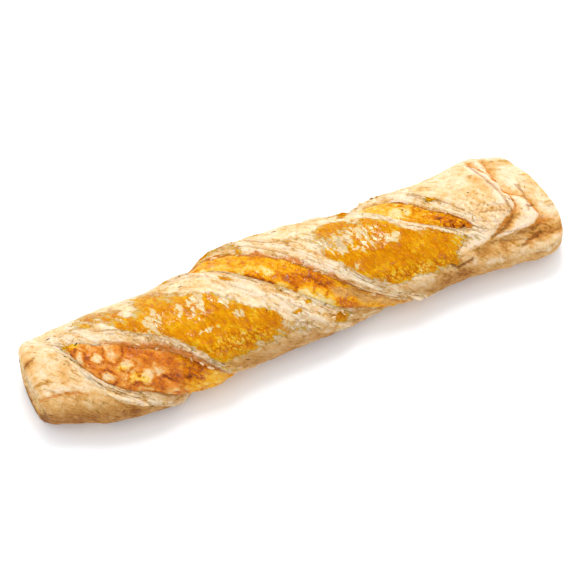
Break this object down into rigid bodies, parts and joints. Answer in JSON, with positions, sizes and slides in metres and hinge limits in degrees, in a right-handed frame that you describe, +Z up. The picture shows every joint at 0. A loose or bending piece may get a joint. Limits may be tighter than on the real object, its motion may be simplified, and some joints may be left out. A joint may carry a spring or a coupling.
{
  "type": "cheese twist",
  "caption": "Baked cheese twist: a strip of puff pastry twisted round its length, with melted cheese showing in the open valleys.",
  "frame": {"origin": "middle of the underside, on the surface that the twist lies on", "axes": "+X along the twist, toward the end with the folded sheets; +Z up; +Y across the twist"},
  "size_m": [0.2378, 0.0586, 0.0335],
  "materials": {
    "baked_pastry": "satin",
    "melted_cheese": "gloss"
  },
  "bodies": {
    "root": {"pastry": "baked_pastry", "cheese_filling": "melted_cheese"}
  },
  "joints": []
}
